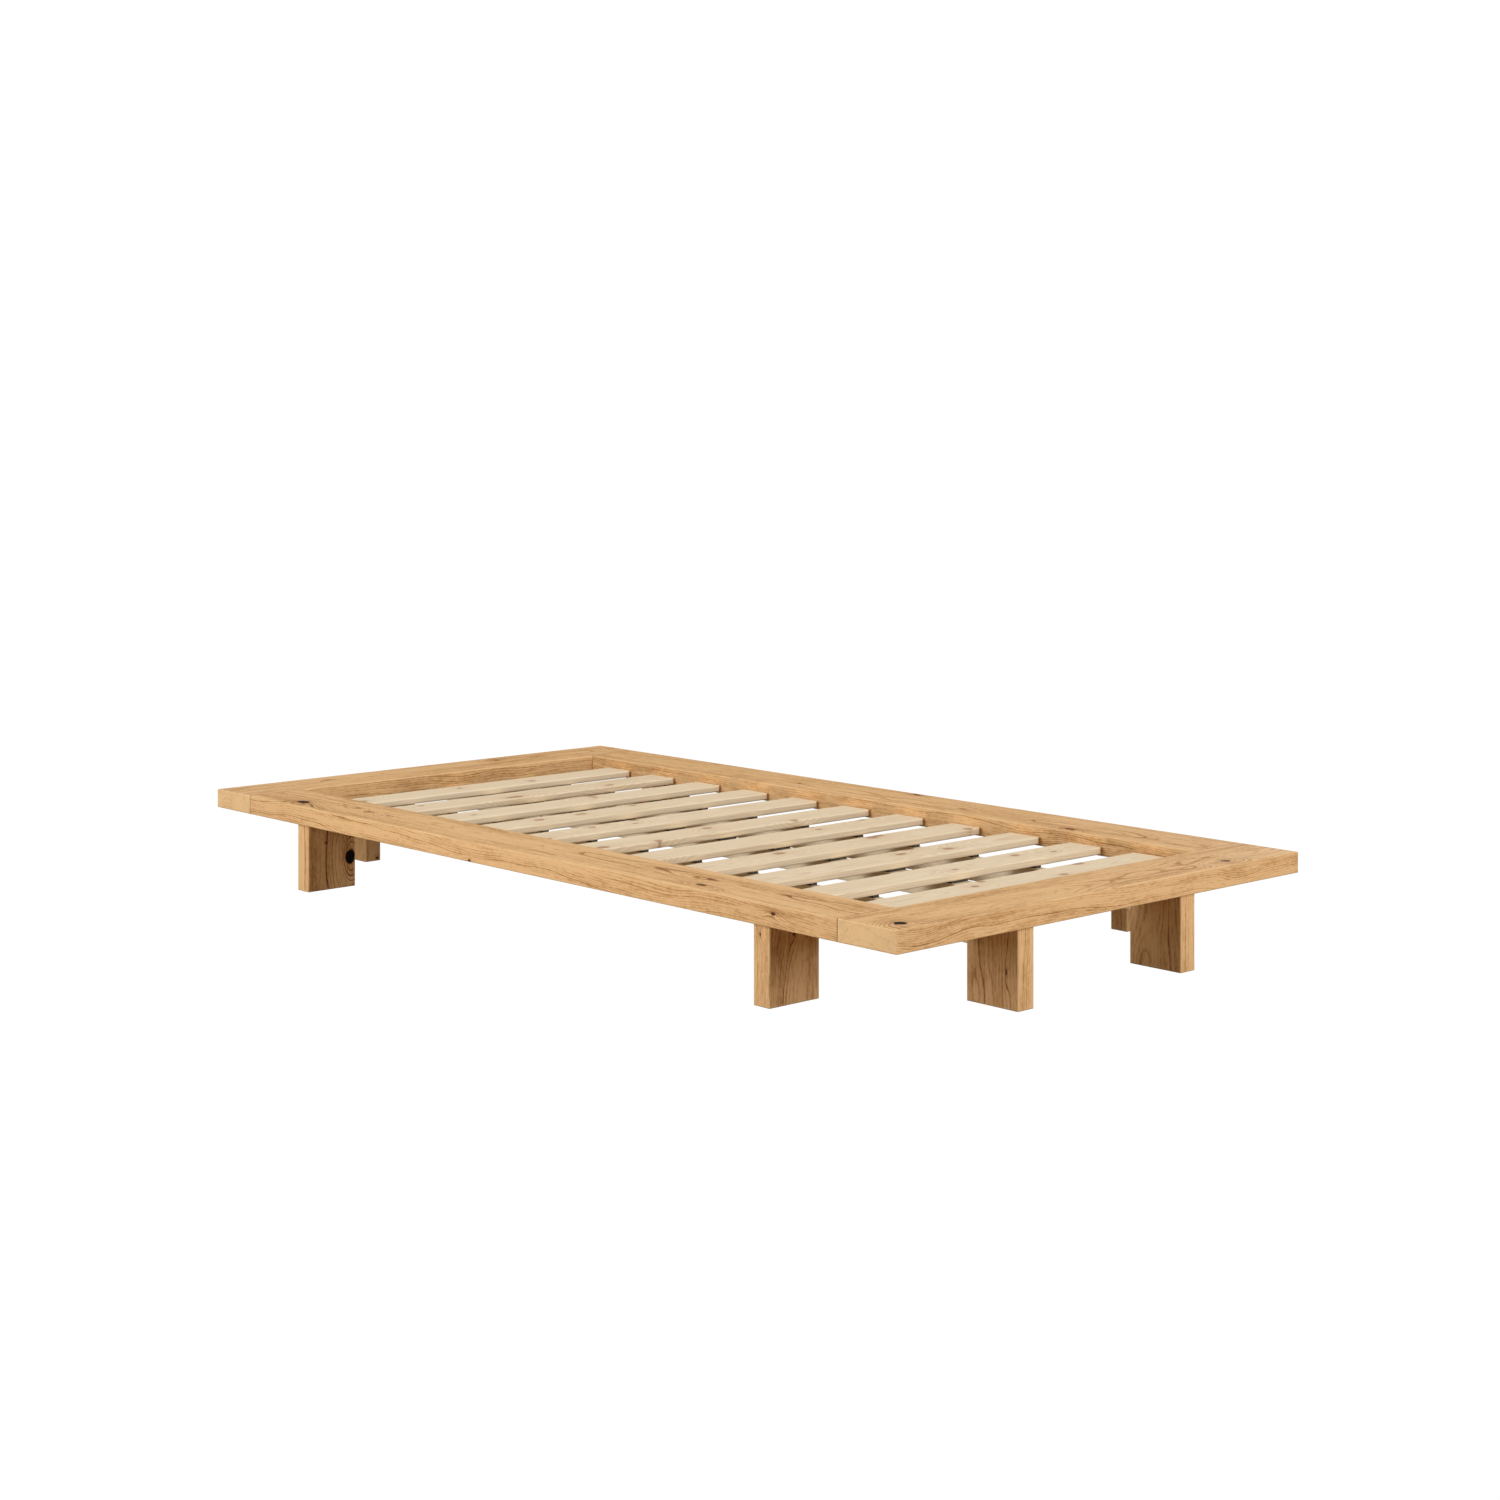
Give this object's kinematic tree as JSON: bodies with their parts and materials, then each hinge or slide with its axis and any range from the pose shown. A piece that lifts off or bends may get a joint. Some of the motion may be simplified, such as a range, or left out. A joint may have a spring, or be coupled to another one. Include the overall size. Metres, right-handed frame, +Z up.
{
  "type": "single bed frame",
  "caption": "Low single bed frame of wide flat oak boards on short board legs, with pine slats sunk inside it on three lengthwise beams.",
  "frame": {"origin": "on the floor, under the middle of the bed", "axes": "+X across the bed to its right side (seen from the foot), +Y along the bed from foot to head, +Z up"},
  "size_m": [1.2, 2.3, 0.2],
  "materials": {
    "oiled_oak": "honey-coloured oiled oak, satin, with fine open grain and a few filled dark knots",
    "pine": "pale planed pine, untreated, matte, with small pinkish knots",
    "rubber_pad": "dark matte rubber",
    "beech_dowel": "plain beech, untreated",
    "zinc_steel": "bright zinc plating, slightly dull"
  },
  "bodies": {
    "root": {"head_rail": "oiled_oak", "foot_rail": "oiled_oak", "left_rail": "oiled_oak", "right_rail": "oiled_oak", "side_leg_head_left": "oiled_oak", "side_leg_head_right": "oiled_oak", "side_leg_foot_left": "oiled_oak", "side_leg_foot_right": "oiled_oak", "end_leg_head_left": "oiled_oak", "end_leg_head_right": "oiled_oak", "end_leg_foot_left": "oiled_oak", "end_leg_foot_right": "oiled_oak", "beam_left": "pine", "beam_middle": "pine", "beam_right": "pine", "slat_01": "pine", "slat_02": "pine", "slat_03": "pine", "slat_04": "pine", "slat_05": "pine", "slat_06": "pine", "slat_07": "pine", "slat_08": "pine", "slat_09": "pine", "slat_10": "pine", "slat_11": "pine", "pads_left": "rubber_pad", "pads_middle": "rubber_pad", "pads_right": "rubber_pad", "corner_dowels": "beech_dowel", "corner_draw_bolts": "zinc_steel", "corner_cross_nuts": "zinc_steel", "corner_washers": "zinc_steel", "corner_hex_nuts": "zinc_steel", "leg_bolts": "zinc_steel", "leg_washers": "zinc_steel", "leg_inserts": "zinc_steel", "hanger_head": "zinc_steel", "hanger_foot": "zinc_steel", "hanger_screws": "zinc_steel"}
  },
  "joints": []
}
